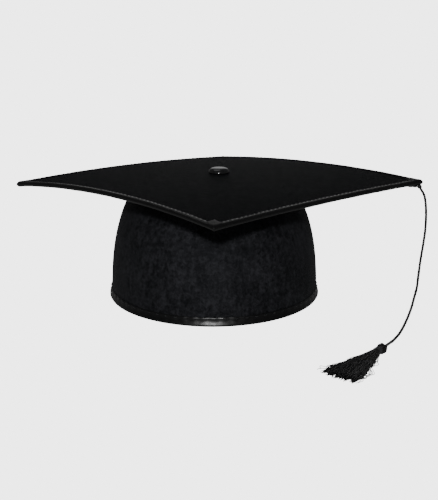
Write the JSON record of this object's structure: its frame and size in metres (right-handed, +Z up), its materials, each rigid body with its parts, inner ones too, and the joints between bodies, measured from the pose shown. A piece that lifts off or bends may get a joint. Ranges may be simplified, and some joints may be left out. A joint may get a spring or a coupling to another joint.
{
  "type": "graduation cap",
  "caption": "Square fabric-covered mortarboard on an oval head crown, with taped edges, a domed button on top and a tassel on a twisted cord under one corner.",
  "frame": {"origin": "middle of the board, at the height of the surface that the crown's rim stands on", "axes": "+Z up, -Y towards the board's front corner, +X towards the corner that carries the tassel"},
  "size_m": [0.3439, 0.4025, 0.1061],
  "materials": {
    "felt": "matte black felt-faced cloth",
    "satin_tape": "satin black tape",
    "lining": "soft black lining cloth",
    "card": "pressed board",
    "button_plastic": "gloss black",
    "steel": "plain",
    "tassel_thread": "silky black thread"
  },
  "bodies": {
    "cap": {"board_core": "card", "board_top_cover": "felt", "board_under_cover": "felt", "binding_front_right": "satin_tape", "binding_back_right": "satin_tape", "binding_back_left": "satin_tape", "binding_front_left": "satin_tape", "crown_front_panel": "felt", "crown_back_panel": "felt", "crown_stiffener": "card", "crown_top": "card", "crown_lining": "lining", "sweatband": "lining", "back_elastic": "lining", "rim_binding": "satin_tape", "button_washer": "steel", "corner_tab": "satin_tape", "cord_knot": "tassel_thread"},
    "button": {"button_dome": "button_plastic", "button_rivet": "steel"},
    "tassel_cord": {"tassel_cord": "tassel_thread"},
    "tassel": {"tassel_head": "tassel_thread", "tassel_wrap": "tassel_thread", "tassel_skirt": "tassel_thread"}
  },
  "joints": [
    {"name": "button_turn", "type": "hinge", "parent": "cap", "child": "button", "pos_m": [0, 0, 0.1], "axis": [0, 0, 1], "continuous": true},
    {"name": "tassel_swing", "type": "hinge", "parent": "cap", "child": "tassel_cord", "pos_m": [0.16711, 0, 0.0906], "axis": [0, 0, 1], "range_deg": [-20, 230]},
    {"name": "tassel_turn", "type": "hinge", "parent": "tassel_cord", "child": "tassel", "pos_m": [0.12409, -0.16484, 0.0044], "axis": [0, 0, 1], "range_deg": [-35, 35]}
  ]
}
